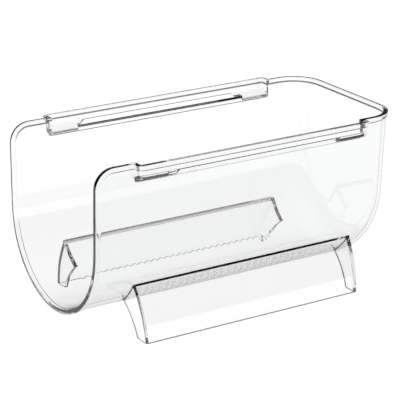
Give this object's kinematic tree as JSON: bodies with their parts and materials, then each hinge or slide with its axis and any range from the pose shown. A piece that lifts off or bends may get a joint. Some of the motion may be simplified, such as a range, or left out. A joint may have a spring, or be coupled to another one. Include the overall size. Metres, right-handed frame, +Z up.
{
  "type": "stackable bottle holder",
  "caption": "Clear open-fronted U trough with a closed back, stepped stacking rails along its rim and skirted feet; holds one bottle or roll lying down.",
  "frame": {"origin": "on the ground under the middle of the trough", "axes": "+Z up; +Y from the open mouth to the closed back; +X to the right when looking in at the mouth"},
  "size_m": [0.1084, 0.203, 0.1045],
  "materials": {
    "clear_plastic": "polished clear, lightly ribbed floor"
  },
  "bodies": {
    "root": {"trough_shell": "clear_plastic", "right_stacking_rail": "clear_plastic", "left_stacking_rail": "clear_plastic", "right_foot": "clear_plastic", "left_foot": "clear_plastic"}
  },
  "joints": []
}
